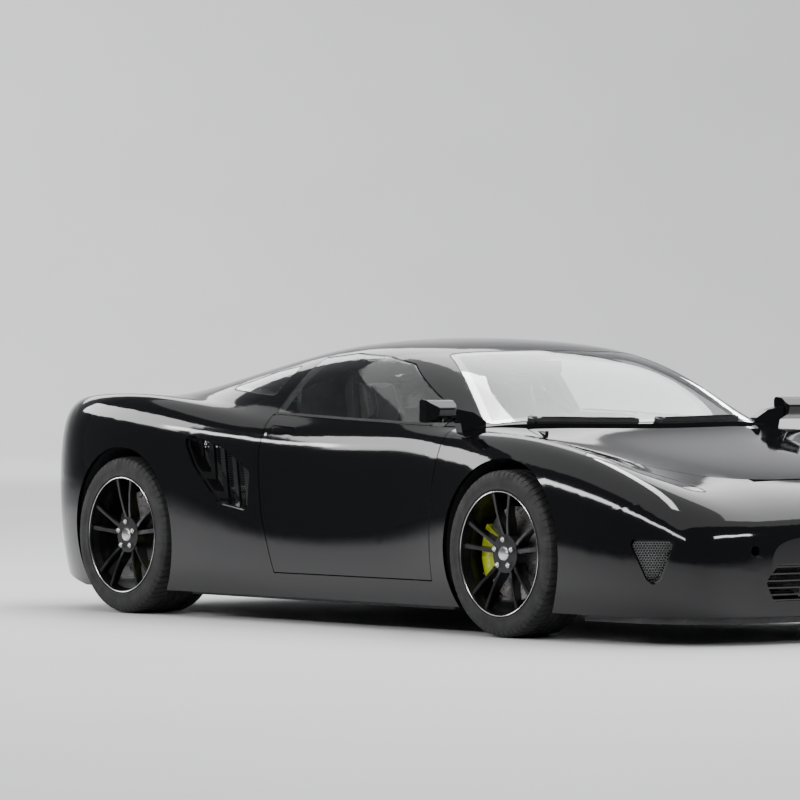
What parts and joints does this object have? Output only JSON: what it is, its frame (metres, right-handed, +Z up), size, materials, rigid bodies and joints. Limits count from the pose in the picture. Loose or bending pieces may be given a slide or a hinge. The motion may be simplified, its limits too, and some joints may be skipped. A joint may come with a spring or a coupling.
{
  "type": "mid-engined two-seat sports coupe",
  "caption": "Low mid-engined two-seat coupe with opening doors, front and rear lids, steered front wheels and turning steering wheel.",
  "frame": {"origin": "on the ground, under the middle of the car's box", "axes": "+X towards the nose, +Y to the car's left, +Z up"},
  "size_m": [4.57, 2.06, 1.2133],
  "materials": {
    "body_paint": "deep gloss black",
    "clear_glass": "clear, slightly green",
    "lamp_glass": "clear cover over dark bowl",
    "lamp_red": "red lens",
    "black_plastic": "grained black",
    "dark_metal": "dark coated metal",
    "wheel_alloy": "dark satin alloy",
    "exhaust_steel": "brushed",
    "engine_alloy": "cast",
    "black_leather": "fine grain",
    "tyre_rubber": "matt rubber"
  },
  "bodies": {
    "root": {"chassis_tub": "dark_metal", "underfloor": "black_plastic", "front_bumper": "body_paint", "cowl_panel": "black_plastic", "side_skirts": "body_paint", "rear_bumper": "body_paint", "rear_diffuser": "black_plastic", "roof_frame": "body_paint", "bonded_glass": "clear_glass", "headlamps": "lamp_glass", "tail_lamps": "lamp_red", "grilles": "black_plastic", "exhaust": "exhaust_steel", "engine_block": "engine_alloy", "wheel_liners": "black_plastic", "suspension": "dark_metal", "dashboard": "black_leather", "centre_console": "black_leather", "seat_shells": "black_plastic", "seat_cushions": "black_leather", "side_mirrors": "body_paint", "interior_mirror": "black_plastic", "wipers": "black_plastic", "front_fender_right": "body_paint", "front_fender_left": "body_paint", "rear_quarter_right": "body_paint", "rear_quarter_left": "body_paint"},
    "bonnet": {"bonnet": "body_paint"},
    "engine_cover": {"engine_cover": "body_paint", "engine_cover_glass": "clear_glass"},
    "steering_wheel": {"steering_wheel": "black_leather"},
    "door_right": {"door_right": "body_paint", "door_glass_right": "clear_glass"},
    "front_knuckle_right": {"front_knuckle_right": "dark_metal"},
    "front_wheel_right": {"front_wheel_right": "wheel_alloy", "front_tyre_right": "tyre_rubber"},
    "rear_wheel_right": {"rear_wheel_right": "wheel_alloy", "rear_tyre_right": "tyre_rubber"},
    "door_left": {"door_left": "body_paint", "door_glass_left": "clear_glass"},
    "front_knuckle_left": {"front_knuckle_left": "dark_metal"},
    "front_wheel_left": {"front_wheel_left": "wheel_alloy", "front_tyre_left": "tyre_rubber"},
    "rear_wheel_left": {"rear_wheel_left": "wheel_alloy", "rear_tyre_left": "tyre_rubber"}
  },
  "joints": [
    {"name": "bonnet_hinge", "type": "hinge", "parent": "root", "child": "bonnet", "pos_m": [0.985, 0, 0.80113], "axis": [0, -1, 0], "range_deg": [0, 56]},
    {"name": "engine_cover_hinge", "type": "hinge", "parent": "root", "child": "engine_cover", "pos_m": [-0.565, 0, 1.12994], "axis": [0, 1, 0], "range_deg": [0, 48]},
    {"name": "door_right_hinge", "type": "hinge", "parent": "root", "child": "door_right", "pos_m": [0.62, -0.845, 0.53], "axis": [0, 0, 1], "range_deg": [0, 62]},
    {"name": "steer_right", "type": "hinge", "parent": "root", "child": "front_knuckle_right", "pos_m": [1.21, -0.8, 0.34], "axis": [0, 0, 1], "range_deg": [-30, 30]},
    {"name": "front_wheel_right_spin", "type": "hinge", "parent": "front_knuckle_right", "child": "front_wheel_right", "pos_m": [1.21, -0.8395, 0.34], "axis": [0, 1, 0], "continuous": true},
    {"name": "rear_wheel_right_spin", "type": "hinge", "parent": "root", "child": "rear_wheel_right", "pos_m": [-1.44, -0.8235, 0.3455], "axis": [0, 1, 0], "continuous": true},
    {"name": "door_left_hinge", "type": "hinge", "parent": "root", "child": "door_left", "pos_m": [0.62, 0.845, 0.53], "axis": [0, 0, -1], "range_deg": [0, 62]},
    {"name": "steer_left", "type": "hinge", "parent": "root", "child": "front_knuckle_left", "pos_m": [1.21, 0.8, 0.34], "axis": [0, 0, 1], "range_deg": [-30, 30]},
    {"name": "front_wheel_left_spin", "type": "hinge", "parent": "front_knuckle_left", "child": "front_wheel_left", "pos_m": [1.21, 0.8395, 0.34], "axis": [0, 1, 0], "continuous": true},
    {"name": "rear_wheel_left_spin", "type": "hinge", "parent": "root", "child": "rear_wheel_left", "pos_m": [-1.44, 0.8235, 0.3455], "axis": [0, 1, 0], "continuous": true},
    {"name": "steering_wheel_turn", "type": "hinge", "parent": "root", "child": "steering_wheel", "pos_m": [0.335, 0.365, 0.69], "axis": [-0.9135, 0, 0.4067], "range_deg": [-365, 365]}
  ],
  "couplings": [
    {"joint": "steer_left", "follows": "steer_right", "ratio": 1},
    {"joint": "steering_wheel_turn", "follows": "steer_right", "ratio": 12}
  ]
}
